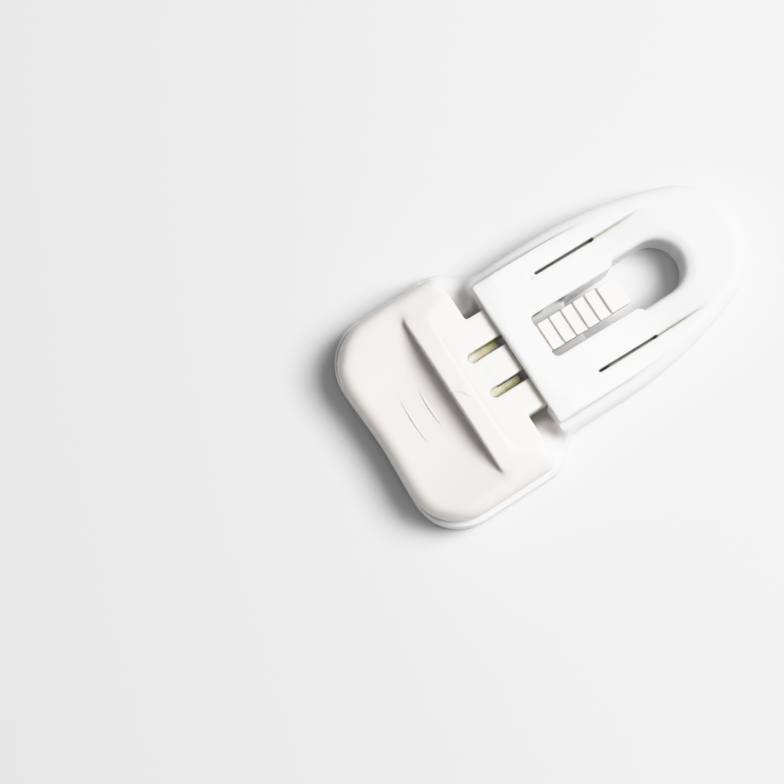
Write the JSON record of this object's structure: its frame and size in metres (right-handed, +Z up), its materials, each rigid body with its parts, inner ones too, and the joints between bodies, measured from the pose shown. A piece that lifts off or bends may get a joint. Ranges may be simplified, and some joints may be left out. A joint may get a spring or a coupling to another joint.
{
  "type": "tarp clip",
  "caption": "Sheet clamp with a flat lower jaw and rope eye, and a wedge upper jaw that slides in under a bridge and is held by a springy toothed tongue.",
  "frame": {"origin": "middle of the clip's length and width, on the plane that its underside rests on", "axes": "+X along the clip from the jaws to the eye, +Y across the jaws, +Z up through the upper jaw"},
  "size_m": [0.0886, 0.0494, 0.0163],
  "materials": {
    "body_plastic": "satin moulded plastic, cool white",
    "jaw_plastic": "satin moulded plastic, warm white"
  },
  "bodies": {
    "lower_body": {"lower_body": "body_plastic"},
    "upper_jaw": {"upper_jaw": "jaw_plastic"},
    "ratchet_tongue": {"ratchet_tongue": "jaw_plastic"}
  },
  "joints": [
    {"name": "jaw_slide", "type": "slide", "parent": "lower_body", "child": "upper_jaw", "axis": [-0.9925, 0, 0.1219], "range_m": [-0.00295, 0.01475]},
    {"name": "tongue_release", "type": "hinge", "parent": "upper_jaw", "child": "ratchet_tongue", "pos_m": [-0.02001, 0, 0.01342], "axis": [0, 1, 0], "range_deg": [0, 4], "stiffness_Nm_per_rad": 0.4}
  ]
}
